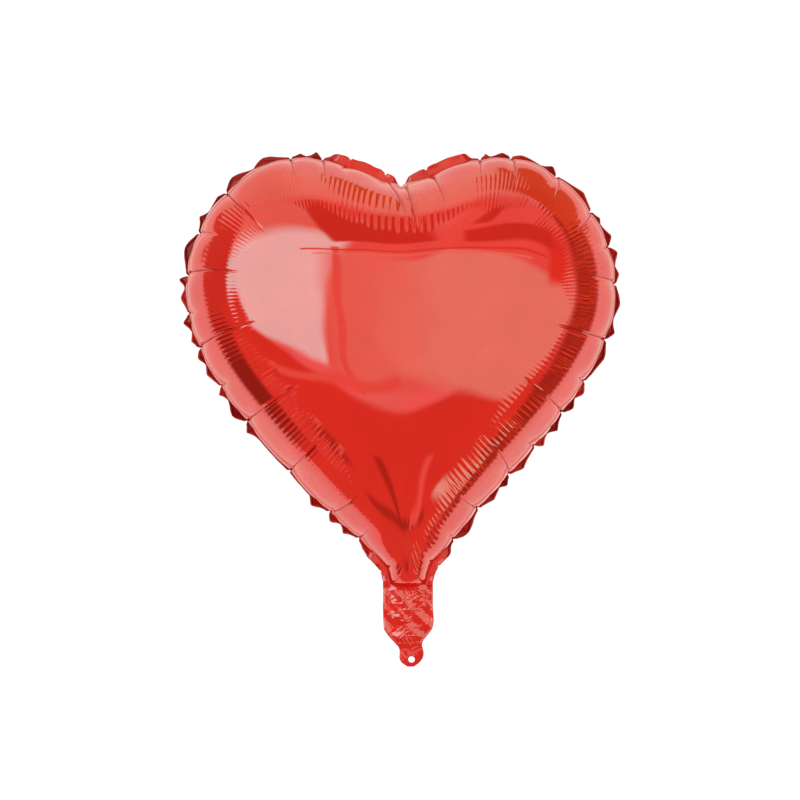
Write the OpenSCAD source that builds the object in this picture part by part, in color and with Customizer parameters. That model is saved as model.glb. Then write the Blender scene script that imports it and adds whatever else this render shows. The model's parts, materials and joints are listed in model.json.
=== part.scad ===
// Heart-shaped foil balloon, inflated, with a flat neck, a film valve and a tail.
// The origin is the tie point at the neck. +Z points up into the heart and the front faces -Y.

/* [Heart] */
// Height of the lobes above the neck
heart_h = 368; // [320:1:400]
// Width across both lobes, over the sealed margin
heart_w = 370; // [320:1:400]
// Depth of the cleft below the top of the lobes
cleft_depth = 26; // [16:1:60]
// Thickness of the inflated heart, front to rear
heart_d = 176; // [140:1:190]
// Height of the point where the heart is thickest
centre_h = 216; // [190:1:240]

/* [Foil] */
// Wall of the foil panels
foil_t = 0.8; // [0.6:0.1:1]
// Thickness of the sealed margin, where both foils are fused
seam_t = 0.8; // [0.6:0.1:1]
// Width of the sealed margin
seam_w = 6.5; // [5:0.5:8]

/* [Neck and tail] */
// Width of the neck over its sealed margins
neck_w = 41; // [38:1:46]
// How far each ply of the neck bows out from the sealed margin
neck_bow = 3.5; // [3:0.1:4]
// Length of the tail from the tie point to the root of the end tab
tail_l = 46; // [44:1:50]
// Radius of the rounded end tab
tab_r = 10.2; // [9:0.1:11]
// Sideways place of the end tab from the middle of the neck
tab_shift = 3; // [0:0.5:4]
// Height of the middle of the tab's round end, below the tie point
tab_drop = 54.5; // [54:0.5:56]
// Radius of the hanging hole
hole_r = 2.7; // [2:0.1:3]
// Height of the hanging hole, below the tie point
hole_drop = 58.6; // [57.6:0.1:59.6]

/* [Valve] */
// Width of the two valve films
valve_w = 22; // [18:1:22]
// Thickness of each valve film
valve_t = 0.25; // [0.2:0.05:0.3]
// Length of the valve inside the heart, above the tie point
valve_up = 55; // [40:1:70]

/* [Hidden] */
foil_red = [0.84, 0.07, 0.06];
seam_red = [0.62, 0.05, 0.05];
film_clear = [0.90, 0.92, 0.92];

half_w = heart_w / 2;
cleft_h = heart_h - cleft_depth;
rim = seam_t / 2;              // a panel's foot stands this far from the middle plane
lap = 1.6;                     // the margin reaches this far in under each panel's foot
fold_gap = 4.5;                // the neck bends freely this far above and below the tie point
channel = neck_w / 2 - seam_w; // half the width of the neck's open channel
film_gap = 0.1;                // each valve film lies this far from the middle plane
joint_gap = 0.5;               // clearance at the tab's and the flaps' fold lines
rings = 11;                    // steps from the thickest point out to the seam
curve_steps = [7, 9, 12, 6];   // steps along each of the outline's four curves
mouth_steps = 8;               // steps across the neck

// The right half of the outline: cleft to lobe top, to widest point, to lower side, to neck.
lobe_top = [0.46 * half_w, heart_h];
widest = [half_w, 0.69 * heart_h];
lower_side = [0.235 * half_w, 0.108 * heart_h];
neck_corner = [neck_w / 2, fold_gap];
curves = [
    [[0, cleft_h], [0.16 * half_w, cleft_h + 15], [0.29 * half_w, heart_h], lobe_top],
    [lobe_top, [0.73 * half_w, heart_h], [half_w, 0.85 * heart_h], widest],
    [widest, [half_w, 0.50 * heart_h], [0.66 * half_w, 0.335 * heart_h], lower_side],
    [lower_side, [0.165 * half_w, 0.07 * heart_h], [neck_w / 2, 0.05 * heart_h], neck_corner]
];

function cubic(p, t) =
    pow(1 - t, 3) * p[0] + 3 * t * pow(1 - t, 2) * p[1] + 3 * t * t * (1 - t) * p[2] + pow(t, 3) * p[3];
function heading(p, t) =
    pow(1 - t, 2) * (p[1] - p[0]) + 2 * t * (1 - t) * (p[2] - p[1]) + t * t * (p[3] - p[2]);
// A point on curve p, moved in by d at right angles to it.
function inset(p, t, d) =
    let (v = heading(p, t)) cubic(p, t) + d / norm(v) * [v[1], -v[0]];
function flip(list) = [for (p = list) [-p[0], p[1]]];
function backwards(list) = [for (i = [len(list) - 1:-1:0]) list[i]];

// The outline inset by d: its right side from cleft to neck, the whole arch, and the arch with the mouth.
function right_side(d) =
    [for (c = [0:3]) for (i = [1:curve_steps[c]]) inset(curves[c], i / curve_steps[c], d)];
function arch(d) =
    concat(backwards(right_side(d)), [[0, cleft_h - d]], flip(right_side(d)));
function outline(d) =
    concat(arch(d), [for (i = [1:mouth_steps - 1])
        [(neck_w / 2 - d) * (2 * i / mouth_steps - 1), fold_gap]]);

// How far a panel stands out at point p, which is the share rho of the way from the centre to the seam.
// slim() thins the panel smoothly from the centre down to the neck.
function slim(z) = 1 - 0.5 * pow(max(0, 1 - z / centre_h), 1.5);
function throat(p) =
    neck_bow * max(0, 1 - pow(p[0] / channel, 2)) * max(0, 1 - (p[1] - fold_gap) / 30);
function bulge(p, rho) = (heart_d / 2 - rim) * sqrt(max(0, 1 - pow(rho, 3))) * slim(p[1]) + throat(p);

centre = [0, centre_h];
seam_line = outline(seam_w);
around = len(seam_line);

// Point j on ring i of a panel's outer face, and of its inner face one wall further in.
function share(i) = sin(90 * i / rings);
function outer_point(i, j) =
    let (p = centre + (seam_line[j] - centre) * share(i))
    [p[0], -rim - bulge(p, share(i)), p[1]];
function inner_point(i, j) =
    let (way = seam_line[j] - centre, p = centre + way * share(i) * (1 - foil_t / norm(way)))
    [p[0], -rim - max(0, bulge(p, share(i)) - foil_t), p[1]];

// A closed wall between an outer and an inner grid of points, which meet at the grid's centre
// and along its last ring.
module panel() {
    outer = [for (i = [1:rings]) for (j = [0:around - 1]) outer_point(i, j)];
    inner = [for (i = [1:rings]) for (j = [0:around - 1]) inner_point(i, j)];
    n = rings * around;
    function o(i, j) = (i - 1) * around + (j + around) % around;
    points = concat(outer, inner, [outer_point(0, 0), inner_point(0, 0)]);
    faces = concat(
        [for (j = [0:around - 1]) [2 * n, o(1, j), o(1, j + 1)]],
        [for (j = [0:around - 1]) [2 * n + 1, n + o(1, j + 1), n + o(1, j)]],
        [for (i = [1:rings - 1]) for (j = [0:around - 1]) each [
            [o(i, j), o(i + 1, j), o(i + 1, j + 1)],
            [o(i, j), o(i + 1, j + 1), o(i, j + 1)],
            [n + o(i, j), n + o(i + 1, j + 1), n + o(i + 1, j)],
            [n + o(i, j), n + o(i, j + 1), n + o(i + 1, j + 1)]]],
        [for (j = [0:around - 1]) each [
            [o(rings, j), n + o(rings, j), n + o(rings, j + 1)],
            [o(rings, j), n + o(rings, j + 1), o(rings, j + 1)]]]);
    polyhedron(points, faces, convexity = 6);
}

// A flat piece of the given outline, standing in the XZ plane between y_low and y_low + thick.
module upright(y_low, thick) {
    translate([0, y_low + thick, 0]) rotate([90, 0, 0]) linear_extrude(thick) children();
}

// The bowed cross-section of one neck ply, seen from above, on the front side.
module ply_section() {
    steps = 12;
    edge = channel * sqrt(1 - foil_t / neck_bow);
    function bow(x) = neck_bow * (1 - pow(x / channel, 2));
    polygon(concat(
        [for (i = [0:steps]) let (x = channel * (2 * i / steps - 1)) [x, -rim - bow(x)]],
        [for (i = [steps:-1:0]) let (x = edge * (2 * i / steps - 1)) [x, -rim - bow(x) + foil_t]]));
}

// Half the tail's outline from the fold down to the root of the tab, and the strip sealed along it.
tail_edge = [[neck_w / 2, -fold_gap], [neck_w / 2 + 0.5, 18 - tail_l], [neck_w / 2 - 0.5, 11 - tail_l],
             [15, 4 - tail_l], [channel - lap, 1.4 - tail_l]];
module side_seal() {
    upright(-rim, seam_t) polygon(concat([[channel - lap, -fold_gap]], tail_edge));
}

module front_panel() color(foil_red) panel();
module rear_panel() color(foil_red) mirror([0, 1, 0]) panel();

// The heat-sealed margin, open across the neck.
module seam_margin() color(seam_red)
    upright(-rim, seam_t) polygon(concat(arch(0), backwards(arch(seam_w + lap))));

// The film of both plies and both margins where the neck bends.
module neck_fold() color(foil_red) {
    slack = 0.2;
    reach = fold_gap - slack;
    for (side = [0, 1]) {
        mirror([0, side, 0]) translate([0, 0, -reach]) linear_extrude(2 * reach) ply_section();
        mirror([side, 0, 0]) translate([channel + slack, -rim, -reach])
            cube([seam_w - slack, seam_t, 2 * reach]);
    }
}

module tail_ply() {
    intersection() {
        translate([0, 0, 1 - tail_l]) linear_extrude(tail_l - fold_gap - 1) ply_section();
        upright(-2 * neck_bow, 4 * neck_bow) polygon(concat(tail_edge, backwards(flip(tail_edge))));
    }
}
module tail_front_ply() color(foil_red) tail_ply();
module tail_rear_ply() color(foil_red) mirror([0, 1, 0]) tail_ply();
module tail_side_seals() color(seam_red) {
    side_seal();
    mirror([1, 0, 0]) side_seal();
}

// The tab's outline: a rounded end that widens to its root, and nothing above the root's fold line.
module tab_outline() {
    root_w = 2 * (channel - lap - 1);
    root_z = -tail_l - joint_gap;
    intersection() {
        hull() {
            translate([tab_shift, -tab_drop]) circle(tab_r, $fn = 32);
            translate([-root_w / 2, root_z - 1]) square([root_w, 1]);
        }
        translate([-neck_w / 2, root_z - neck_w]) square(neck_w);
    }
}

// One ply of the end tab, with its half of the hanging hole.
module tab_ply() {
    difference() {
        upright(-film_gap - foil_t, foil_t) tab_outline();
        translate([tab_shift, 0, -hole_drop]) rotate([90, 0, 0])
            cylinder(h = 4 * foil_t, r = hole_r, center = true, $fn = 48);
    }
}
module tab_front_ply() color(foil_red) tab_ply();
module tab_rear_ply() color(foil_red) mirror([0, 1, 0]) tab_ply();

// The valve film in the tail: a flat strip whose lower lip spreads to its ply, where it is welded.
module valve_inlet() {
    lip_w = 14;
    lip_top = 18 - tail_l;
    lip_end = 8 - tail_l;
    lip_y = foil_t + 0.05 - rim - neck_bow * (1 - pow(lip_w / 2 / channel, 2));
    translate([-valve_w / 2, -film_gap - valve_t, lip_top])
        cube([valve_w, valve_t, -lip_top - fold_gap]);
    translate([-lip_w / 2, 0, 0]) rotate([90, 0, 90]) linear_extrude(lip_w)
        polygon([[-film_gap, lip_top + 1], [-film_gap - valve_t, lip_top + 1],
                 [lip_y, lip_end], [lip_y + valve_t, lip_end], [-film_gap, lip_top]]);
}
module valve_inlet_front() color(film_clear) valve_inlet();
module valve_inlet_rear() color(film_clear) mirror([0, 1, 0]) valve_inlet();

// The free end of a valve film inside the heart, with rounded top corners.
module valve_flap() {
    corner = 4;
    foot = fold_gap + joint_gap;
    upright(-film_gap - valve_t, valve_t) {
        translate([-valve_w / 2, foot]) square([valve_w, valve_up - corner - foot]);
        translate([corner - valve_w / 2, valve_up - corner]) square([valve_w - 2 * corner, corner]);
        for (side = [-1, 1])
            translate([side * (valve_w / 2 - corner), valve_up - corner]) circle(corner, $fn = 32);
    }
}
module valve_flap_front() color(film_clear) valve_flap();
module valve_flap_rear() color(film_clear) mirror([0, 1, 0]) valve_flap();

front_panel();
rear_panel();
seam_margin();
neck_fold();
tail_front_ply();
tail_rear_ply();
tail_side_seals();
tab_front_ply();
tab_rear_ply();
valve_inlet_front();
valve_inlet_rear();
valve_flap_front();
valve_flap_rear();
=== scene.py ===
"""Heart-shaped foil balloon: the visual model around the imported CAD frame, the stage, lights and camera.

Lengths are in millimetres until a mesh is made. The axes are the CAD's: +Z up, the front towards -Y, and the
origin at the tie point in the neck.
"""
import json
import math

import bpy
import numpy as np
from mathutils import Matrix, Vector


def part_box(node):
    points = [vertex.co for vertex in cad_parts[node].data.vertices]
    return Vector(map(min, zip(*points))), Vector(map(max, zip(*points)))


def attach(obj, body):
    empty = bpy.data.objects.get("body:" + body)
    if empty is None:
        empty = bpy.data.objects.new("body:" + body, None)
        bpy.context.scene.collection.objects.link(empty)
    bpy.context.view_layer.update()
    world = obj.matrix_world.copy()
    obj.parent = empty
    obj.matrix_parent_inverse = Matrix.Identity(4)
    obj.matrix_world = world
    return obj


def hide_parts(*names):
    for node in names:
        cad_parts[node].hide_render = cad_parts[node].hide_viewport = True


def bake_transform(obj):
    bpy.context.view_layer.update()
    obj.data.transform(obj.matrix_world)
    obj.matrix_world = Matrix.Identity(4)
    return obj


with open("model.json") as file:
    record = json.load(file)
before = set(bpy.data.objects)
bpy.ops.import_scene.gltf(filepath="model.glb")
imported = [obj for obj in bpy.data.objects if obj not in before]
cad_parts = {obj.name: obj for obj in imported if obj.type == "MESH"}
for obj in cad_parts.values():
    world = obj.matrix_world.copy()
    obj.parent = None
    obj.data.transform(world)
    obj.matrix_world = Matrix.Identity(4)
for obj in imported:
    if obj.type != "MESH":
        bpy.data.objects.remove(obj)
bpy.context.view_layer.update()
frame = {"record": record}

MM = 0.001


def box_mm(node):
    """Lowest and highest corner of a CAD node, in millimetres."""
    return [np.array(corner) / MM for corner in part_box(node)]


seam_low, seam_high = box_mm("seam_margin")
panel_low = box_mm("front_panel")[0]
tail_low = box_mm("tail_side_seals")[0]
tab_low = box_mm("tab_front_ply")[0]

# ---------------------------------------------------------------- sizes, in millimetres
# Read from the CAD frame, or worked out from it.
HEART_W = seam_high[0] - seam_low[0]
HEART_H = seam_high[2]
FOLD = seam_low[2]                    # the neck's fold, this far above the tie point: the heart ends and the tail begins there
DEPTH = -panel_low[1]                 # half the heart's thickness
NECK_HALF = -tail_low[0] - 0.5        # half the neck's width
TAIL_END = tail_low[2]
CLEFT_H = 0.929 * HEART_H             # height of the cleft between the lobes

# The film's own, which the CAD model leaves out.
LEAN = -6.0                           # the full heart hangs this far to one side of its neck
SEAM_INSET = 6.0                      # the weld line runs this far inside the margin's edge
MARGIN_W = 8.0                        # width of the margin, ironed flat
CLEFT_WEB = 56.0                      # the margin lies flat this far along each side of the cleft
NECK_FLANK = 44.0                     # and this far up each side of the neck
CREASE_STRETCH = 1.2                  # a crease runs this much longer along the film than in the list below
CREASE_DEPTH = 1.5                    # the sharp bottom of a crease cuts in this deep
CREASE_HALF = 0.85                    # half the width of that bottom
LIP_HEIGHT = 0.20                     # of the low lips on either side of a crease
ROLL_HEIGHT = 1.9                     # the film bulges by this much at most between two creases
RIPPLE_HEIGHT = 0.12                  # of the fine ripples inside the rim
RIPPLE_STEP = 4.6                     # from one ripple to the next
GATHER_HEIGHT = 0.16                  # of the folds that fan out from the neck
SIDE_LENGTH = 560.0                   # about how long one side of the outline is, from cleft to neck
MOUTH_SAG = 2.0                       # the heart's lower end bulges this far down over the tail
NECK_BOW = 3.5                        # how far each film stands open over the neck's channel
CHANNEL = NECK_HALF - 6.5             # half the width of that channel
PLY = 0.06                            # thickness of each ply of the tail and tab
MARGIN_PLY = 2 * PLY                  # the margin is both films welded together
VALVE_PLY = 0.05                      # thickness of a valve film

# Pinch creases from the cleft down to the neck: share of the side's length, length in mm, slant in degrees.
# Most places and about half the slants were worked out by a script, from crease ends picked in the
# photograph. The lengths and the other rows were chosen one by one.
CREASES_RIGHT = [(0.046, 62, 4), (0.128, 40, -4), (0.175, 52, 8), (0.25, 42, 14), (0.325, 46, 10),
                 (0.385, 26, 0), (0.443, 52, -8), (0.529, 72, 3), (0.60, 30, 4), (0.659, 74, -2),
                 (0.725, 30, 5), (0.784, 60, -8), (0.854, 48, 3), (0.915, 26, -6), (0.962, 18, 0)]
CREASES_LEFT = [(0.026, 66, -14), (0.085, 26, 6), (0.125, 42, -8), (0.173, 40, -4), (0.284, 72, 1),
                (0.357, 40, -6), (0.423, 70, -7), (0.48, 26, 3), (0.535, 78, -3), (0.60, 30, 4),
                (0.666, 84, 2), (0.765, 70, 0), (0.851, 56, 9), (0.911, 34, 1), (0.973, 18, -2)]
CLEFT_CREASE = (0.5, 80, 6)           # place in mm from the cleft, length, slant


# ---------------------------------------------------------------- small helpers
def smooth(t):
    """0 below t = 0, 1 above t = 1, and a smooth step between."""
    t = np.clip(t, 0.0, 1.0)
    return t * t * (3 - 2 * t)


def cubic(p, t):
    """Points at t along the curve with the four control points p."""
    t = np.asarray(t)[:, None]
    return (1 - t) ** 3 * p[0] + 3 * t * (1 - t) ** 2 * p[1] + 3 * t * t * (1 - t) * p[2] + t ** 3 * p[3]


def resample(points, count):
    """The closed line cut into equal steps of length, without the last point, which is the first again."""
    length = np.concatenate([[0], np.cumsum(np.linalg.norm(np.diff(points, axis=0), axis=1))])
    at = np.linspace(0, length[-1], count + 1)[:count]
    return np.stack([np.interp(at, length, points[:, k]) for k in range(points.shape[1])], axis=1)


def film_mesh(name, points, faces, body, material):
    """A smooth-shaded mesh object from points in millimetres; body is None for a piece that is attached to no
    body.
    """
    mesh = bpy.data.meshes.new(name)
    mesh.from_pydata((np.asarray(points) * MM).tolist(), [], faces)
    mesh.shade_smooth()
    mesh.validate()
    piece = bpy.data.objects.new(name, mesh)
    bpy.context.scene.collection.objects.link(piece)
    mesh.materials.append(material)
    if body:
        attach(piece, body)
    return piece


def set_fold(piece, values):
    """Marks, from 0 to 1, where the film is pinched or folded on itself; the foil's colour is painted darker
    there, a painted shade in the fold.
    """
    fold = piece.data.attributes.new("fold", "FLOAT", "POINT")
    fold.data.foreach_set("value", np.asarray(values, np.float32))


# ---------------------------------------------------------------- the outline of the heart
def side_curve():
    """The right half of the margin's outer edge, from the cleft to the neck, as the CAD has it."""
    w, h = HEART_W / 2, HEART_H
    top, widest, low = (0.46 * w, h), (w, 0.69 * h), (0.235 * w, 0.108 * h)
    neck = (NECK_HALF, FOLD)
    curves = [[(0, CLEFT_H), (0.16 * w, CLEFT_H + 15), (0.29 * w, h), top],
              [top, (0.73 * w, h), (w, 0.85 * h), widest],
              [widest, (w, 0.50 * h), (0.66 * w, 0.335 * h), low],
              [low, (0.165 * w, 0.07 * h), (neck[0], 0.05 * h), neck]]
    steps = np.linspace(0, 1, 160)
    parts = [cubic(np.array(control, float), steps) for control in curves]
    return np.concatenate([parts[0]] + [part[1:] for part in parts[1:]])


def inset_side(points):
    """The weld line: moved in from the edge, less at the cleft, where the margin folds back."""
    step = np.gradient(points, axis=0)
    step /= np.linalg.norm(step, axis=1)[:, None]
    inward = np.stack([step[:, 1], -step[:, 0]], axis=1)
    inward[0] = (0, -1)
    along = np.linspace(0, 1, len(points))
    length = SIDE_LENGTH * along
    depth = SEAM_INSET + 0.5 * smooth((along - 0.8) / 0.2) - 4.5 * np.exp(-(length / 14) ** 2)
    return points + inward * depth[:, None]


def lean(z):
    """How far the full heart hangs to one side of its neck at height z."""
    return LEAN * smooth((z - 28) / 55)


def leaning(points):
    """The points of the upright heart, moved to where they hang."""
    moved = points.copy()
    moved[:, 0] += lean(points[:, 1])
    return moved


def seam_loop(columns):
    """The closed weld line, evenly stepped: from the cleft down the right side, over the mouth and back."""
    right = inset_side(side_curve())
    right[0, 0] = 0
    left = right[::-1] * (-1, 1)
    across = np.linspace(right[-1, 0], left[0, 0], 24)
    mouth = np.stack([across, FOLD - MOUTH_SAG * (1 - (across / right[-1, 0]) ** 2)], axis=1)
    loop = leaning(np.concatenate([right, mouth[1:-1], left]))
    sides = [np.linalg.norm(np.diff(leaning(half), axis=0), axis=1).sum() for half in (right, left)]
    return resample(loop, columns), sides


# ---------------------------------------------------------------- the inflated shape
class Pillow:
    """A smooth potential over the heart's outline, zero at the weld line and highest where it is thickest.

    It solves a pillow's equation (the Laplacian is a constant) with sources placed outside the outline.
    """

    def __init__(self, loop):
        fit = resample(np.concatenate([loop, loop[:1]]), 420)
        ahead = np.roll(fit, -1, axis=0) - np.roll(fit, 1, axis=0)
        ahead /= np.linalg.norm(ahead, axis=1)[:, None]
        outward = np.stack([-ahead[:, 1], ahead[:, 0]], axis=1)
        away = 13.0
        sources = (fit + outward * away)[::3]
        gap = np.linalg.norm(sources[:, None] - fit[None], axis=2).min(axis=1)
        self.sources = sources[gap > 0.9 * away]
        rows = np.log(np.linalg.norm(fit[:, None] - self.sources[None], axis=2))
        rows = np.concatenate([rows, np.ones((len(fit), 1))], axis=1)
        self.weights = np.linalg.lstsq(rows, (fit ** 2).sum(axis=1) / 4, rcond=1e-9)[0]
        self.top = self.find_top()
        self.top_value = self.value(self.top[None])[0]

    def value(self, points):
        gap = np.linalg.norm(points[:, None] - self.sources[None], axis=2)
        return np.log(gap) @ self.weights[:-1] + self.weights[-1] - (points ** 2).sum(axis=1) / 4

    def slope(self, points):
        gap = points[:, None] - self.sources[None]
        pull = self.weights[:-1] / (gap ** 2).sum(axis=2)
        return (gap * pull[:, :, None]).sum(axis=1) - points / 2

    def find_top(self):
        point = np.array([[LEAN, 0.6 * HEART_H]])
        for _ in range(400):
            point = point + 0.3 * self.slope(point)
        return point[0]

    def height(self, share):
        """How far the film stands out where the potential is this share of its top, and how fast it rises."""
        rest = np.clip(1 - share, 0, 1)
        out = DEPTH * np.sqrt(np.maximum(1 - rest ** 1.5, 1e-12))
        rate = DEPTH ** 2 * 0.75 * np.sqrt(rest) / out
        return out, rate


COLUMNS = 1920                        # points round the weld line
ROWS_FINE, ROWS_MIDDLE, ROWS_COARSE = 36, 20, 16
RIM_END, DOME_START, DOME_END = 0.50, 1.0, 1.49    # where the row spacing changes, as angles from weld to top


def trace(pillow, loop):
    """Lines of steepest climb from every point of the weld line: the rows' levels and their plan places."""
    steps = np.concatenate([np.linspace(0, RIM_END, ROWS_FINE + 1),
                            np.linspace(RIM_END, DOME_START, ROWS_MIDDLE + 1)[1:],
                            np.linspace(DOME_START, DOME_END, ROWS_COARSE + 1)[1:]])
    levels = np.sin(steps) ** 2
    start = pillow.value(loop)
    places = [loop]
    at = loop.copy()

    def goal(level):
        return pillow.top_value * level + start * (1 - level) ** 4

    def climb(points):
        slope = pillow.slope(points)
        return slope / np.maximum((slope ** 2).sum(axis=1), 1e-3)[:, None]

    for lower, upper in zip(levels[:-1], levels[1:]):
        rise = (goal(upper) - goal(lower))[:, None]
        k1 = climb(at)
        k2 = climb(at + rise * k1 / 2)
        k3 = climb(at + rise * k2 / 2)
        k4 = climb(at + rise * k3)
        at = at + rise * (k1 + 2 * k2 + 2 * k3 + k4) / 6
        places.append(at)
    return levels, np.array(places)


def normals_of(pillow, levels, places):
    """The film's outward normal on the front side, in x, y, z."""
    out = []
    for level, at in zip(levels, places):
        grad = pillow.slope(at) / pillow.top_value
        _, rate = pillow.height(np.array([max(level, 1e-7)]))
        normal = np.stack([-rate[0] * grad[:, 0], -np.ones(len(at)), -rate[0] * grad[:, 1]], axis=1)
        out.append(normal / np.linalg.norm(normal, axis=1)[:, None])
    return np.array(out)


class Noise:
    """A smooth seeded noise along one line, from -1 to 1."""

    COUNT = 4000          # it repeats after this many steps

    def __init__(self, seed):
        self.values = np.random.RandomState(seed).uniform(-1, 1, self.COUNT)

    def __call__(self, at):
        low = np.floor(at).astype(int)
        step = smooth(at - low)
        return self.values[low % self.COUNT] * (1 - step) + self.values[(low + 1) % self.COUNT] * step


def wobble(x, z, seed, scale, waves=9):
    """A sum of seeded plane waves over x and z, about -1 to 1: the film's slow unevenness."""
    random = np.random.RandomState(seed)
    total = 0
    for _ in range(waves):
        turn, phase, stretch = random.uniform(0, 2 * math.pi, 2).tolist() + [random.uniform(0.6, 1.5)]
        across = x * math.cos(turn) + z * math.sin(turn)
        total = total + np.sin(across * 2 * math.pi / (scale * stretch) + phase)
    return total / math.sqrt(waves * 2)


# ---------------------------------------------------------------- creases, rolls and ripples
def crease_list(sides, total):
    """Every pinch crease as (place along the weld line, length, slant), in order round the heart."""
    right = [(share * sides[0], length, slant) for share, length, slant in CREASES_RIGHT]
    left = [(total - share * sides[1], length, -slant) for share, length, slant in CREASES_LEFT]
    return sorted([CLEFT_CREASE] + right + left)


def between_creases(s, creases, total):
    """How far round each place is between its two creases, from 0 to 1, and the distance between them."""
    places = np.array([c[0] for c in creases] + [creases[0][0] + total])
    after = np.searchsorted(places, s, side="right").clip(1, len(places) - 1)
    width = places[after] - places[after - 1]
    return np.clip((s - places[after - 1]) / width, 0, 1), width


def around(s, place, total):
    """How far s is from a place on the closed weld line, either way round."""
    return (s - place + total / 2) % total - total / 2


def rolls(s, m, creases, total):
    """How far the film bulges between each two creases: most near the weld, and gone further in."""
    share, width = between_creases(s, creases, total)
    crown = 1 - np.abs(2 * share - 1) ** 2.6
    height = np.minimum(0.050 * width, ROLL_HEIGHT)
    return crown * height * (0.5 + 0.5 * smooth(m / 8)) * (1 - smooth((m - 20) / 24))


def cut_creases(proud, s, m, creases, total):
    """Cuts every pinch crease into proud, with low lips beside it, and marks where the film is pinched, for a
    painted shade in the crease.
    """
    crease_shade = np.zeros_like(proud)
    for place, length, slant in creases:
        off = around(s, place, total) - math.tan(math.radians(slant)) * m * 0.9
        fade = np.clip(1 - m / (CREASE_STRETCH * length), 0, 1)
        size = min(1, length / 40)
        bottom = CREASE_DEPTH * np.exp(-(off / CREASE_HALF) ** 2) * fade ** 0.5
        pinch = bottom + 0.5 * np.exp(-np.abs(off) / 2.6) * fade
        lip = LIP_HEIGHT * np.exp(-((np.abs(off) - 2.2) / 0.9) ** 2) * fade
        proud = proud - (pinch - lip) * size
        # Painted shade: the mask that darkens the foil's colour along each crease.
        crease_shade = np.maximum(crease_shade, np.exp(-(off / 0.75) ** 2) * fade ** 0.4 * size)
    return proud, crease_shade


def ripples(s, inward, facing, total, seed):
    """Fine ripples side by side, in a ragged band where the film turns from the rim to the face."""
    wave = Noise(seed)
    start = 0.55 + 0.05 * wave(s / 11) + 0.03 * wave(s / 3 + 50)
    end = 0.88 + 0.03 * wave(s / 13 + 300) + 0.03 * wave(s / 4 + 500)
    band = smooth((facing - start) / 0.10) * (1 - smooth((facing - end) / 0.09))
    reach = 38 - 16 * smooth((130 - np.abs(s - total / 2)) / 60)
    band = band * (1 - smooth((inward - reach) / 10))
    phase = 2 * math.pi * s / RIPPLE_STEP + 1.6 * wave(s / 17 + 900)
    comb = np.sin(phase) + 0.25 * np.sin(2 * phase + 1)
    strength = (1 + 0.5 * wave(s / 9 + 1200)) * (1 + 0.5 * wave(s / 38 + 1500))
    strength = strength + 0.9 * np.exp(-(around(s, 0, total) / 70) ** 2)
    return comb * band * RIPPLE_HEIGHT * strength


def gathers(x, z):
    """Shallow upright folds that fan out from the neck into the heart's lower end."""
    across = x - lean(z)
    tall = smooth((110 - z) / 75) * smooth((z - FOLD) / 12)
    inside = 1 - smooth((np.abs(across) - 6 - 0.25 * z) / 10)
    return GATHER_HEIGHT * np.cos(2 * math.pi * across / (11 + 0.16 * z) + 0.6) * tall * inside


def relief(s, m, inward, facing, spread, plan, creases, total, seed):
    """How far the film stands proud of the smooth pillow, along its normal, and how sharply it is pinched, as
    a mask of painted shade.

    s runs round the weld line, m inwards along the film and inward across the plan. facing is 1 where the
    film faces straight out and 0 at the weld, and spread is how far neighbouring lines of climb keep apart.
    """
    proud, crease_shade = cut_creases(rolls(s, m, creases, total), s, m, creases, total)
    valley = 2.0 * np.exp(-(around(s, 0, total) / 7) ** 2) * np.clip(1 - m / 75, 0, 1)
    proud = proud - valley + ripples(s, inward, facing, total, seed)
    proud = proud + gathers(plan[..., 0], plan[..., 1])
    apart = smooth((spread - 0.12) / 0.4)
    slow = 0.28 * wobble(plan[..., 0], plan[..., 1], seed + 5, 120)
    slow = slow + 0.07 * wobble(plan[..., 0], plan[..., 1], seed + 6, 45)
    return proud * apart + slow * smooth(m / 60), crease_shade * apart


def throat(x, z):
    """How far the film stands open over the neck's mouth."""
    bow = np.clip(1 - (x / CHANNEL) ** 2, 0, 1)
    return NECK_BOW * bow * (1 - smooth((z - FOLD) / 30))


def grid_faces(across, down):
    """Faces of a grid with this many cells across and down, its points listed row by row."""
    w = across + 1
    return [(i * w + j, (i + 1) * w + j, (i + 1) * w + j + 1, i * w + j + 1)
            for i in range(down) for j in range(across)]


def ring_faces(rows_at):
    """Faces between rings of points. rows_at gives each ring's (first index, number of points)."""
    faces = []
    for (a, na), (b, nb) in zip(rows_at[:-1], rows_at[1:]):
        for j in range(nb):
            k = (j + 1) % nb
            if na == nb:
                faces.append((a + j, b + j, b + k, a + k))
            else:
                first, middle, last = a + 2 * j, a + 2 * j + 1, a + (2 * j + 2) % na
                faces += [(first, b + j, middle), (middle, b + j, b + k), (middle, b + k, last)]
    return faces


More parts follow.
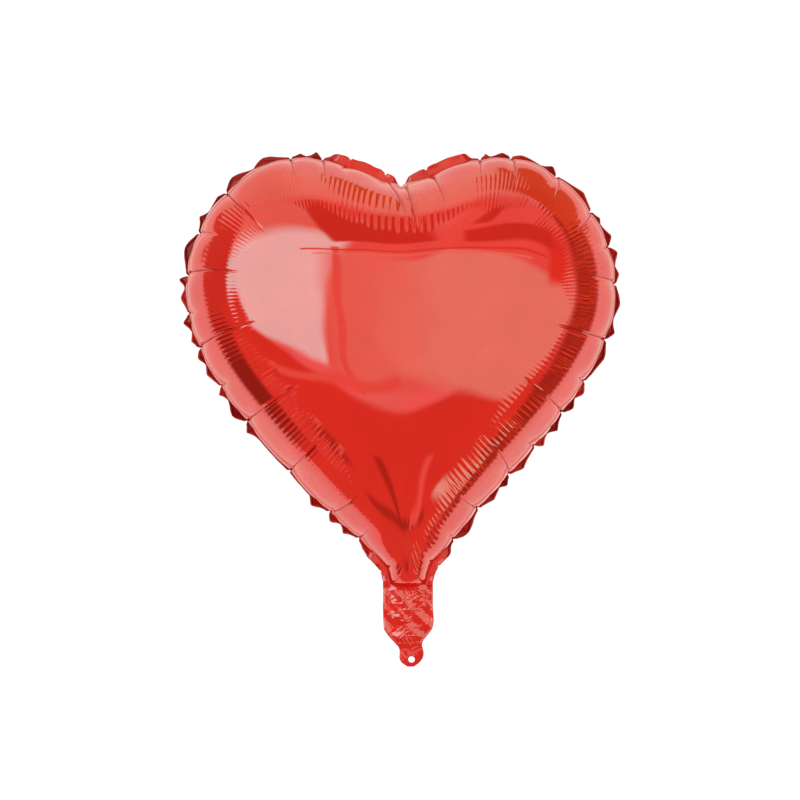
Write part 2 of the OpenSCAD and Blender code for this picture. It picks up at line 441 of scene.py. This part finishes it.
def heart_foil(name, shape, side, seed, material):
    """One film of the heart. side is -1 for the front and 1 for the rear."""
    places, levels, normals = shape["places"], shape["levels"], shape["normals"]
    height, _ = shape["pillow"].height(levels)
    out = height[:, None] + throat(places[..., 0], places[..., 1])
    points = np.stack([places[..., 0], -out, places[..., 1]], axis=2)
    steps = np.linalg.norm(np.diff(points, axis=0), axis=2)
    m = np.concatenate([np.zeros((1, steps.shape[1])), np.cumsum(steps, axis=0)])
    gaps = np.linalg.norm(points - np.roll(points, -1, axis=1), axis=2)
    spread = gaps / gaps[0]
    s = np.broadcast_to(shape["s"][None], m.shape)
    inward = np.linalg.norm(places - places[0], axis=2)
    proud, crease_shade = relief(s, m, inward, -normals[..., 1], spread, places, shape["creases"], shape["total"],
                            seed)
    proud = proud * (1 - shape["mouth"][None])
    points = points + normals * proud[..., None]
    points[..., 1] *= -side
    verts, crease_shade_rows, rows_at = [], [], []
    count = 0
    strides = [1] * (ROWS_FINE + 1) + [2] * ROWS_MIDDLE + [4] * ROWS_COARSE    # fewer points near the top
    # tint is the painted crease shade of each row.
    for row, tint, stride in zip(points, crease_shade, strides):
        ring = row[::stride]
        rows_at.append((count, len(ring)))
        verts.append(ring)
        crease_shade_rows.append(tint[::stride])
        count += len(ring)
    faces = ring_faces(rows_at)
    top = shape["pillow"].top
    last, ring_count = rows_at[-1]
    verts.append(np.array([[top[0], points[-1, :, 1].mean(), top[1]]]))
    faces += [(last + j, count, last + (j + 1) % ring_count) for j in range(ring_count)]
    if side > 0:
        faces = [f[::-1] for f in faces]
    piece = film_mesh(name, np.concatenate(verts), faces, "envelope", material)
    set_fold(piece, np.concatenate(crease_shade_rows + [np.zeros(1)]))
    return piece, points[0]


def margin_folds(shape):
    """The margin's folds: their places round the weld line and how it opens between each two.

    The columns of the second array are how wide it opens, where its widest point is, how pointed it is, and
    how dark its colour is painted there, a painted shade in the fold at a random strength.
    """
    random = np.random.RandomState(12)
    places = [shape["creases"][0][0]]
    for crease in shape["creases"][1:] + [(shape["total"] + places[0], 0, 0)]:
        gap = crease[0] - places[-1]
        if gap > 21 and random.uniform() > 0.25:
            places.append(places[-1] + gap * random.uniform(0.35, 0.65))
        places.append(crease[0])
    count = len(places)
    width = random.uniform(0.45, 0.9, count) * (random.uniform(0, 1, count) > 0.03)
    skew = random.uniform(0.6, 1.7, count)
    power = random.uniform(0.85, 1.7, count)
    # Painted shade: how dark each fold's colour is painted, at a random strength.
    fold_shade_strength = random.uniform(0.45, 1.0, count)
    return np.array(places), np.stack([width, skew, power, fold_shade_strength], axis=1)


def heart_margin(shape, edge, material):
    """The sealed margin: a ruffled strip from the weld line outwards, open across the neck."""
    s, along, to_mouth = shape["s"], shape["along"], shape["to_mouth"]
    places, opening = margin_folds(shape)
    after = np.searchsorted(places, s, side="right").clip(1, len(places) - 1)
    share = np.clip((s - places[after - 1]) / (places[after] - places[after - 1]), 0, 1)
    width, skew, power, fold_shade_strength = opening[after - 1].T
    lens = 1 - np.abs(2 * share ** skew - 1) ** power
    wave = Noise(77)
    cleft = smooth((along - 2) / 8) * (1 - smooth((along - CLEFT_WEB) / 8))
    neck = smooth((NECK_FLANK - to_mouth) / 16)
    flat = np.maximum(cleft, neck)
    folded = 84 - 66 * lens * width                        # degrees: almost flat back where it is closed
    angle = np.radians(folded * (1 - flat) + (7 * wave(s / 9) - 4) * flat)
    outward = shape["normals"][0][:, [0, 2]]
    outward = outward / np.linalg.norm(outward, axis=1)[:, None]
    square = smooth((14 - to_mouth) / 10)[:, None]
    outward = outward * (1 - square) + np.sign(outward[:, :1]) * np.array([[1, 0]]) * square
    reach = (MARGIN_W - 1.4 * neck) * (1 - 0.6 * np.exp(-(along / 9) ** 2))
    reach = reach + 0.4 * wave(s / 5 + 60) * (1 - neck)
    keep = np.where(to_mouth > -0.3)[0]
    first = int(np.argmax(np.diff(keep) > 1)) + 1
    keep = np.roll(keep, -first)
    rows = []
    for part in np.linspace(0, 1, 8):
        bend = angle * (0.35 + 0.65 * part)
        row = edge.copy()
        row[:, 0] += outward[:, 0] * np.cos(bend) * reach * part
        row[:, 2] += outward[:, 1] * np.cos(bend) * reach * part
        row[:, 1] = row[:, 1] * (1 - part) + np.sin(bend) * reach * part
        row = row[keep]
        foot = [row[[0]] * (1, 0, 1) - (0, 0, 1.5), row[[-1]] * (1, 0, 1) - (0, 0, 1.5)]
        rows.append(np.concatenate([foot[0], row, foot[1]]))
    faces = grid_faces(len(rows[0]) - 1, len(rows) - 1)
    piece = film_mesh("heart_margin", np.concatenate(rows), faces, "envelope", material)
    # Painted shade on the margin's folds, none where the margin lies flat.
    tint = np.concatenate([[0], ((1 - flat) * fold_shade_strength)[keep], [0]])
    set_fold(piece, np.tile(tint, len(rows)))
    thicken(piece, MARGIN_PLY)
    return piece


def thicken(piece, thickness, inner=None):
    """Gives a film real thickness; its inner face may have a material of its own."""
    modifier = piece.modifiers.new("film thickness", "SOLIDIFY")
    modifier.thickness = thickness * MM
    modifier.offset = 0
    if inner:
        piece.data.materials.append(inner)
        modifier.offset = -1
        modifier.material_offset = 1


# ---------------------------------------------------------------- tail and end tab
# Its edges from the neck's fold down to the end of the tab: height, and place to the right.
TAIL_RIGHT = [(FOLD, 21), (-14, 21), (-26, 21.8), (-32, 20.8), (-38, 16.6), (-43, 12.4), (-47, 11.6),
              (-52, 13.3), (-57, 12.9), (-62, 9.4), (-64.7, 4.5)]
TAIL_LEFT = [(FOLD, -21), (-14, -21), (-26, -20.8), (-33, -20.3), (-39, -16.4), (-45, -10.8), (-49, -7.2),
             (-53, -7.0), (-58, -7.3), (-62, -5.2), (-64.7, 0.5)]
TAIL_LEAN = 0.06                      # the tail hangs back by this much of its length
EAR = 8.0                             # its corners reach this far up over the margin beside the neck
EAR_START = NECK_HALF - 5.5           # and begin this far from the neck's middle


def edge_at(points, z):
    """The tail's edge, in x, at height z: rounded through the listed points."""
    knots = np.array(sorted(points), float)
    near = [np.interp(z + shift, knots[:, 0], knots[:, 1]) for shift in (-1.6, -0.8, 0, 0.8, 1.6)]
    return np.mean(near, axis=0)


def crumple(x, z, seed, sizes=(15, 9, 6, 4)):
    """Straight folds at seeded angles, from 0 to about 1, as in film crushed and smoothed out again."""
    random = np.random.RandomState(seed)
    total = 0
    for size in sizes:
        for _ in range(2):
            turn, phase = random.uniform(0, math.pi), random.uniform(0, 1)
            bent = 0.25 * np.sin(x / size * 1.3 + phase * 6) + 0.25 * np.sin(z / size * 1.1 + phase * 9)
            across = (x * math.cos(turn) + z * math.sin(turn)) / size + phase + bent
            total = total + np.abs((across % 1) * 2 - 1) * size
    return total / (2 * sum(sizes))


def wrinkles(x, z, seed, count):
    """Short narrow ridges scattered over the tail at seeded places and angles, in millimetres."""
    random = np.random.RandomState(seed)
    total = 0
    for _ in range(count):
        off_x, off_z = x - random.uniform(-NECK_HALF, NECK_HALF), z - random.uniform(TAIL_END - 12, FOLD)
        turn, bow = random.uniform(0, math.pi), random.uniform(-0.03, 0.03)
        half, width, size = random.uniform(3, 9), random.uniform(0.4, 0.75), random.uniform(0.15, 0.4)
        along = off_x * math.cos(turn) + off_z * math.sin(turn)
        across = off_z * math.cos(turn) - off_x * math.sin(turn) + bow * along ** 2
        total = total + size * np.exp(-(across / width) ** 2 - (along / half) ** 4)
    return total


def tail_zones(z):
    """How far below the neck's fold, and how far into the end of the tail, height z is: each from 0 to 1."""
    return smooth((FOLD - z) / 5), smooth((-z - 38) / 12)


def tail_middle(x, z):
    """The middle of the tail's thickness, in y: it hangs back a little and is bent by broad folds."""
    ease, end = tail_zones(z)
    bend = wobble(x, z, 21, 30) * 0.9 + (crumple(x, z, 31, (17, 11)) - 0.5) * 1.8
    return bend * ease * (1 - 0.6 * end) + TAIL_LEAN * np.maximum(FOLD - z, 0)


def tail_depth(x, z, side):
    """Where a ply of the tail or tab lies, in y. side is -1 for the front ply and 1 for the rear."""
    ease, end = tail_zones(z)
    bow = NECK_BOW * np.clip(1 - (x / CHANNEL) ** 2, 0, 1) * (1 - end)
    own = crumple(x, z, 40 + side, (15, 9)) * 0.8 + crumple(x, z, 50 + side, (6, 4)) * 0.3
    own = own + wrinkles(x, z, 60 + side, 70)
    own = own * ease * np.clip(1.15 - np.abs(x) / NECK_HALF, 0.12, 1) * (1 - 0.55 * end)
    return tail_middle(x, z) + side * (0.12 + bow * (1 - 0.45 * ease) + own)


def tail_foil(name, side, material, inside):
    """One ply of the tail, from the neck's fold to the root of the end tab, sealed at both edges."""
    across, down = 124, 156
    t = np.linspace(0, 1, across + 1)[None]
    top = FOLD + EAR * smooth((np.abs(2 * t - 1) * NECK_HALF - EAR_START) / 5)
    z = top + (TAIL_END - top) * np.linspace(0, 1, down + 1)[:, None]
    left, right = edge_at(TAIL_LEFT, z), edge_at(TAIL_RIGHT, z)
    x = left * (1 - t) + right * t
    from_edge = np.minimum(t, 1 - t) * (right - left)
    proud = 0.3 * np.exp(-((from_edge - 1.2) / 0.5) ** 2) + 0.9 * smooth((z - FOLD) / 3)
    points = np.stack([x, tail_depth(x, z, side) + side * proud, z], axis=2).reshape(-1, 3)
    faces = grid_faces(across, down)
    if side > 0:
        faces = [f[::-1] for f in faces]
    piece = film_mesh(name, points, faces, None, material)
    thicken(piece, PLY, inside)
    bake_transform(piece)
    return piece


def tab_foil(name, side, material, inside):
    """One ply of the end tab, meshed in rings from the hanging hole out to the tab's edge."""
    hole = next(m for m in frame["record"]["mounts"] if m["name"] == "tail_hole")
    hole_x, hole_z = hole["pos_m"][0] / MM, hole["pos_m"][2] / MM
    hole_r = hole["dims"]["r_mm"]
    bottom = tab_low[2]
    z = np.linspace(TAIL_END, bottom, 60)
    right = np.stack([edge_at(TAIL_RIGHT, z), z], axis=1)
    left = np.stack([edge_at(TAIL_LEFT, z), z], axis=1)
    root = np.stack([np.linspace(left[0, 0], right[0, 0], 24), np.full(24, TAIL_END)], axis=1)
    foot = np.stack([np.linspace(right[-1, 0], left[-1, 0], 8), np.full(8, bottom)], axis=1)
    loop = np.concatenate([root[:-1], right[:-1], foot[:-1], left[::-1][:-1]])
    spokes = np.arctan2(loop[:, 1] - hole_z, loop[:, 0] - hole_x)
    rim = np.stack([hole_x + hole_r * np.cos(spokes), hole_z + hole_r * np.sin(spokes)], axis=1)
    rings = 26
    verts = []
    for part in np.linspace(0, 1, rings + 1):
        ring = rim * (1 - part) + loop * part
        verts.append(np.stack([ring[:, 0], tail_depth(ring[:, 0], ring[:, 1], side), ring[:, 1]], axis=1))
    n = len(loop)
    faces = [(i * n + j, i * n + (j + 1) % n, (i + 1) * n + (j + 1) % n, (i + 1) * n + j)
             for i in range(rings) for j in range(n)]
    if side > 0:
        faces = [f[::-1] for f in faces]
    piece = film_mesh(name, np.concatenate(verts), faces, None, material)
    thicken(piece, PLY, inside)
    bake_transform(piece)
    return piece


# ---------------------------------------------------------------- valve films
def valve_film(node, body, material):
    """A soft clear strip along a CAD valve film, a little wavy, and following its lip where it has one."""
    low, high = box_mm(node)
    side = -1 if low[1] + high[1] < 0 else 1
    across, down = 20, 60
    z = np.linspace(high[2], low[2], down + 1)[:, None] * np.ones((1, across + 1))
    x = np.linspace(low[0], high[0], across + 1)[None] * np.ones((down + 1, 1))
    lip = max(abs(low[1]), abs(high[1])) - 0.35            # how far its lower end stands open
    part = smooth((low[2] + 10 - z) / 10) if lip > 0.5 else 0 * z
    wave = 0.12 * (1 + np.sin(x / 3.1 + z / 4.7)) * (1 - part)
    x = x * (1 - 0.36 * part)
    y = tail_middle(x, z) + side * (0.14 + wave + lip * part)
    points = np.stack([x, y, z], axis=2).reshape(-1, 3)
    faces = grid_faces(across, down)
    piece = film_mesh(node.replace("valve", "valve_film"), points, faces, body, material)
    thicken(piece, VALVE_PLY)
    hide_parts(node)


# ---------------------------------------------------------------- materials
def new_material(name):
    """A node material, with its nodes, its links and its shader."""
    material = bpy.data.materials.new(name)
    material.use_nodes = True
    nodes, links = material.node_tree.nodes, material.node_tree.links
    return material, nodes, links, nodes["Principled BSDF"]


def foil_material(name, deep, bright, folded, roughness, bump, scale, coat=1.0):
    """Metallised film: a mirror under a tinted lacquer, with fine unevenness in tint, gloss and surface;
    darker, with less lacquer, where the mesh marks a pinch or fold: a painted shade.
    """
    material, nodes, links, shader = new_material(name)
    where = nodes.new("ShaderNodeTexCoord")
    fine = nodes.new("ShaderNodeTexNoise")
    fine.inputs["Scale"].default_value = scale
    fine.inputs["Detail"].default_value = 4
    slow = nodes.new("ShaderNodeTexNoise")
    slow.inputs["Scale"].default_value = 22
    tint = nodes.new("ShaderNodeValToRGB")
    tint.color_ramp.elements[0].position, tint.color_ramp.elements[0].color = 0.35, (*deep, 1)
    tint.color_ramp.elements[1].position, tint.color_ramp.elements[1].color = 0.65, (*bright, 1)
    gloss = nodes.new("ShaderNodeMapRange")
    gloss.inputs["To Min"].default_value = roughness * 0.6
    gloss.inputs["To Max"].default_value = roughness * 1.5
    dents = nodes.new("ShaderNodeBump")
    dents.inputs["Strength"].default_value = bump
    dents.inputs["Distance"].default_value = 0.0002
    for texture in (fine, slow):
        links.new(where.outputs["Object"], texture.inputs["Vector"])
    links.new(slow.outputs["Fac"], tint.inputs["Fac"])
    # Painted shade: the fold attribute turns the colour towards folded, the shadow in a pinch or fold.
    fold = nodes.new("ShaderNodeAttribute")
    fold.attribute_name = "fold"
    shade = nodes.new("ShaderNodeMix")
    shade.data_type = "RGBA"
    shade.inputs["B"].default_value = (*folded, 1)
    links.new(fold.outputs["Fac"], shade.inputs["Factor"])
    links.new(tint.outputs["Color"], shade.inputs["A"])
    links.new(shade.outputs["Result"], shader.inputs["Base Color"])
    links.new(fine.outputs["Fac"], gloss.inputs["Value"])
    links.new(gloss.outputs["Result"], shader.inputs["Roughness"])
    links.new(fine.outputs["Fac"], dents.inputs["Height"])
    links.new(dents.outputs["Normal"], shader.inputs["Normal"])
    shader.inputs["Metallic"].default_value = 1
    # Less lacquer where the fold attribute is set, so the pinch reflects less: part of the same painted
    # shade.
    lacquer = nodes.new("ShaderNodeMapRange")
    lacquer.inputs["To Min"].default_value = coat
    lacquer.inputs["To Max"].default_value = coat * 0.1
    links.new(fold.outputs["Fac"], lacquer.inputs["Value"])
    links.new(lacquer.outputs["Result"], shader.inputs["Coat Weight"])
    shader.inputs["Coat IOR"].default_value = 1.7
    shader.inputs["Specular Tint"].default_value = (1.0, 0.47, 0.40, 1)
    shader.inputs["Coat Roughness"].default_value = 0.03
    return material


def clear_film_material():
    """Clear film with a faint uneven haze."""
    material, nodes, links, shader = new_material("valve_film")
    where = nodes.new("ShaderNodeTexCoord")
    haze = nodes.new("ShaderNodeTexNoise")
    haze.inputs["Scale"].default_value = 240
    ramp = nodes.new("ShaderNodeMapRange")
    ramp.inputs["To Min"].default_value = 0.35
    ramp.inputs["To Max"].default_value = 0.60
    links.new(where.outputs["Object"], haze.inputs["Vector"])
    links.new(haze.outputs["Fac"], ramp.inputs["Value"])
    links.new(ramp.outputs["Result"], shader.inputs["Alpha"])
    shader.inputs["Base Color"].default_value = (0.86, 0.88, 0.88, 1)
    shader.inputs["Roughness"].default_value = 0.12
    return material


# ---------------------------------------------------------------- stage
WHITE = 1.07                          # level of the white room
FLOOR_Z = -1.6                        # the balloon floats well above the floor, metres
HEART_MIDDLE = Vector((0, 0, 0.2))    # the lights and flags stand round this point, metres
REACH = 3.2                           # and this far from it
FLAG = 0.76                           # level of a plain flag
LIGHT_TINT = (0.335, 0.26)            # green and blue of a softbox, as a share of its level
SHADE_TINT = (0.38, 0.235)            # and of a flag, which is a little warmer
WARM_TINT = (0.56, 0.20)              # and of the warm-coloured things in the room


def glow(name, colour, half, soft):
    """Light of a card: even in the middle, and fading out over a soft border."""
    material = bpy.data.materials.new(name)
    material.use_nodes = True
    nodes, links = material.node_tree.nodes, material.node_tree.links
    nodes.remove(nodes["Principled BSDF"])
    lamp = nodes.new("ShaderNodeEmission")
    lamp.inputs["Color"].default_value = (*[part / max(colour) for part in colour], 1)
    lamp.inputs["Strength"].default_value = max(colour)
    where = nodes.new("ShaderNodeTexCoord")
    split = nodes.new("ShaderNodeSeparateXYZ")
    links.new(where.outputs["Object"], split.inputs["Vector"])
    shown = nodes.new("ShaderNodeMath")
    shown.operation = "MULTIPLY"
    for k, axis in enumerate("XY"):
        size = nodes.new("ShaderNodeMath")
        size.operation = "ABSOLUTE"
        links.new(split.outputs[axis], size.inputs[0])
        edge = nodes.new("ShaderNodeMapRange")
        edge.interpolation_type = "SMOOTHSTEP"
        edge.inputs["From Min"].default_value = half[k]
        edge.inputs["From Max"].default_value = half[k] - soft
        links.new(size.outputs[0], edge.inputs["Value"])
        links.new(edge.outputs["Result"], shown.inputs[k])
    clear = nodes.new("ShaderNodeBsdfTransparent")
    blend = nodes.new("ShaderNodeMixShader")
    links.new(shown.outputs[0], blend.inputs["Fac"])
    links.new(clear.outputs[0], blend.inputs[1])
    links.new(lamp.outputs["Emission"], blend.inputs[2])
    links.new(blend.outputs[0], nodes["Material Output"].inputs["Surface"])
    return material


def card(name, right, up, width, height, level, soft, roll=0.0, reach=REACH, red=1.0, tint=None):
    """A softbox, or a dark flag, that only the film's reflections see.

    right and up say where it stands, in degrees away from the camera as the balloon sees it. width, height
    and soft are in degrees too. red caps its red, so that the red film does not glare.
    """
    green, blue = tint or (SHADE_TINT if level < 1 else LIGHT_TINT)
    colour = (min(level, red), level * green, level * blue)
    turn, angle = math.radians(math.hypot(right, up)), math.atan2(up, right)
    away = Vector((math.sin(turn) * math.cos(angle), -math.cos(turn), math.sin(turn) * math.sin(angle)))
    half = [reach * math.tan(math.radians(size / 2)) for size in (width, height)]
    mesh = bpy.data.meshes.new(name)
    corners = [(-1, -1), (1, -1), (1, 1), (-1, 1)]
    mesh.from_pydata([(x * half[0], y * half[1], 0) for x, y in corners], [], [(0, 1, 2, 3)])
    mesh.materials.append(glow(name, colour, half, reach * math.radians(soft)))
    piece = bpy.data.objects.new(name, mesh)
    bpy.context.scene.collection.objects.link(piece)
    piece.location = away * reach + HEART_MIDDLE
    sideways = Vector((math.cos(angle), 0, math.sin(angle)))
    radial = sideways * math.cos(turn) + Vector((0, math.sin(turn), 0))
    tangent = Vector((-math.sin(angle), 0, math.cos(angle)))
    spin = -angle + math.radians(roll)
    x_axis = radial * math.cos(spin) + tangent * math.sin(spin)
    y_axis = tangent * math.cos(spin) - radial * math.sin(spin)
    piece.rotation_mode = "QUATERNION"
    piece.rotation_quaternion = Matrix((x_axis, y_axis, x_axis.cross(y_axis))).transposed().to_quaternion()
    piece.visible_camera = False
    piece.visible_diffuse = False


def room():
    """A white floor in one even white room."""
    world = bpy.data.worlds.new("studio")
    bpy.context.scene.world = world
    world.use_nodes = True
    world.node_tree.nodes["Background"].inputs["Color"].default_value = (1, 1, 1, 1)
    world.node_tree.nodes["Background"].inputs["Strength"].default_value = WHITE
    mesh = bpy.data.meshes.new("floor")
    mesh.from_pydata([(-9, -9, 0), (9, -9, 0), (9, 9, 0), (-9, 9, 0)], [], [(0, 1, 2, 3)])
    floor = bpy.data.objects.new("floor", mesh)
    bpy.context.scene.collection.objects.link(floor)
    floor.location = (0, 0, FLOOR_Z)
    material, _, _, shader = new_material("floor")
    shader.inputs["Base Color"].default_value = (0.96, 0.96, 0.96, 1)
    shader.inputs["Roughness"].default_value = 1.0
    shader.inputs["Specular IOR Level"].default_value = 0.0
    mesh.materials.append(material)
    floor.visible_glossy = False


def lights_and_flags():
    """Softboxes, dark flags and thin strips all round the balloon, for its reflections."""
    card("back_light", 180, 0, 150, 150, 1.3, 25, tint=(1.05, 0.95))
    card("back_shade", 180, 0, 78, 78, 0.85, 16, reach=3.0, tint=(0.54, 0.51))
    card("front_fill", 0, 34, 150, 88, 2.3, 8, reach=5.0)
    card("left_softbox", -41, 21, 64, 58, 13, 4, roll=-9, reach=3.05, red=1.05,
         tint=(0.365, 0.36))
    card("left_softbox_corner", -68, -10, 30, 18, 0.86, 4, roll=40, reach=2.95)
    card("left_softbox_fade", -40, 54, 80, 36, 3.6, 12, reach=3.02)
    card("right_softbox_fade", -6, 8, 22, 50, 4.0, 10, reach=3.07)
    card("right_softbox", 33, 0, 76, 43, 6, 4, roll=-25, reach=3.1)
    card("right_softbox_end", 10, 9, 40, 32, 6, 4, reach=3.1)
    card("mullion", -9.2, 10, 2.8, 44, 2.4, 0.8, reach=3.0)
    card("overhead_softbox", 8, 92, 70, 50, 4.8, 16, reach=3.15)
    card("left_high_softbox", -56, 78, 60, 44, 3.6, 12, roll=35, reach=3.15)
    card("low_glint", 44, -60, 36, 11, 9, 5, roll=-28, reach=2.7)
    card("low_left_strip", -24, -15, 52, 5, 2.4, 2, roll=20, reach=2.85)
    card("right_low_fill", 54, 24, 22, 26, 0.95, 6, reach=2.85)
    card("rear_window", -134, 90, 24, 18, 1.0, 4, reach=2.8, tint=(0.85, 0.80))
    card("rear_window_low", 128, -96, 26, 16, 1.0, 5, reach=2.8, tint=(0.80, 0.76))
    card("wing_flag", -7, 53, 14, 36, FLAG, 2, roll=13, reach=2.8)
    card("curved_flag", 18, 62, 7, 32, FLAG, 2, roll=-20, reach=2.8)
    card("bar_flag", 38, 38, 56, 14, FLAG, 3, roll=-4, reach=2.8)
    card("frame_bar", 12, 30, 62, 1.6, 0.9, 0.5, roll=-2, reach=2.75)
    card("frame_light", 10, 27, 50, 1.4, 5, 0.5, roll=-2, reach=2.75)
    card("left_flag", -86, 20, 36, 80, FLAG, 4, reach=2.9)
    card("left_low_flag", -80, -42, 34, 34, 0.34, 9, roll=30, reach=2.8)
    card("right_flag", 88, -4, 40, 110, 0.42, 9, reach=2.9)
    card("right_high_flag", 50, 82, 60, 36, 0.78, 5, roll=-35, reach=2.9, tint=WARM_TINT)
    card("floor_shade", 0, -56, 130, 88, 0.86, 6, reach=3.0)
    card("low_flag", -38, -44, 16, 16, 0.5, 6, reach=2.9)
    card("foot_flag", -6, -68, 48, 12, 0.5, 6, reach=2.9)
    for angle in (-44, -31, -17, -6, 7, 16, 29, 38):
        right, up = 88 * math.cos(math.radians(angle)), 88 * math.sin(math.radians(angle))
        card("right_streak_%d" % angle, right, up, 30, 4, 0.95, 1.5, roll=angle, reach=2.7, tint=WARM_TINT)
    for right, level in ((-11, 0.5), (13, 2.4)):
        card("low_streak_%d" % right, right, -54, 7, 36, level, 3, roll=-right / 2, reach=2.75)
    for angle in (204, 213, 222, 231):
        right, up = 64 * math.cos(math.radians(angle)), 64 * math.sin(math.radians(angle))
        card("left_streak_%d" % angle, right, up, 26, 3, 2.2, 1, roll=angle, reach=2.7)


CAMERA_AWAY = 2.2                     # metres from the camera to the balloon
VIEW_WIDTH = 0.672                    # width of the view where the balloon is, metres
SENSOR = 36                           # width of the camera's sensor, mm


def camera():
    """The photograph's view: level, straight at the front, from far enough to look almost flat."""
    data = bpy.data.cameras.new("camera")
    data.sensor_width = SENSOR
    data.lens = SENSOR * CAMERA_AWAY / VIEW_WIDTH
    data.clip_end = 60
    eye = bpy.data.objects.new("camera", data)
    bpy.context.scene.collection.objects.link(eye)
    eye.location = (-0.0067, -CAMERA_AWAY, 0.1596)
    eye.rotation_euler = (math.pi / 2, 0, 0)
    bpy.context.scene.camera = eye


def heart_shape():
    """Everything that both heart films and the margin are built from."""
    loop, sides = seam_loop(COLUMNS)
    total = np.linalg.norm(np.diff(np.concatenate([loop, loop[:1]]), axis=0), axis=1).sum()
    pillow = Pillow(loop)
    levels, places = trace(pillow, loop)
    s = np.arange(COLUMNS) * total / COLUMNS
    to_mouth = np.where(s < total / 2, sides[0] - s, s - (total - sides[1]))
    return {"pillow": pillow, "levels": levels, "places": places,
            "normals": normals_of(pillow, levels, places),
            "s": s, "total": total, "along": np.minimum(s, total - s), "to_mouth": to_mouth,
            "mouth": 1 - smooth(to_mouth / 6), "creases": crease_list(sides, total)}


def build():
    """All the pieces, each over the CAD nodes that it replaces."""
    # folded is the colour of the painted shade in pinches and folds.
    red = foil_material("red_foil", deep=(0.75, 0.006, 0.002), bright=(0.81, 0.009, 0.004),
                        folded=(0.32, 0.005, 0.004), roughness=0.06, bump=0.08, scale=420)
    tail_red = foil_material("tail_foil", deep=(0.70, 0.006, 0.006), bright=(0.78, 0.009, 0.008),
                             folded=(0.32, 0.005, 0.004), roughness=0.07, bump=0.1, scale=420, coat=0.95)
    seam_red = foil_material("seam_foil", deep=(0.64, 0.008, 0.004), bright=(0.74, 0.012, 0.006),
                             folded=(0.17, 0.005, 0.005), roughness=0.16, bump=0.3, scale=700, coat=0.4)
    silver = foil_material("foil_inside", deep=(0.62, 0.61, 0.60), bright=(0.72, 0.71, 0.70),
                           folded=(0.4, 0.4, 0.4), roughness=0.22, bump=0.2, scale=500)
    clear = clear_film_material()
    shape = heart_shape()
    front, edge = heart_foil("heart_front_foil", shape, -1, 101, red)
    rear, _ = heart_foil("heart_rear_foil", shape, 1, 202, red)
    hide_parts("front_panel")
    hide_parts("rear_panel")
    margin = heart_margin(shape, edge, seam_red)
    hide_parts("seam_margin")
    for name, side, nodes in (("tail_front_foil", -1, ("tail_front_ply", "tail_side_seals", "neck_fold")),
                              ("tail_rear_foil", 1, ("tail_rear_ply",))):
        ply = tail_foil(name, side, tail_red, silver)
        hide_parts(*nodes)
    for name, side, node in (("tab_front_foil", -1, "tab_front_ply"), ("tab_rear_foil", 1, "tab_rear_ply")):
        ply = tab_foil(name, side, tail_red, silver)
        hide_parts(node)
    for node, body in (("valve_inlet_front", "tail"), ("valve_inlet_rear", "tail"),
                       ("valve_flap_front", "valve_front"), ("valve_flap_rear", "valve_rear")):
        valve_film(node, body, clear)


bpy.context.scene.view_settings.view_transform = "Standard"
camera()
room()
lights_and_flags()
build()
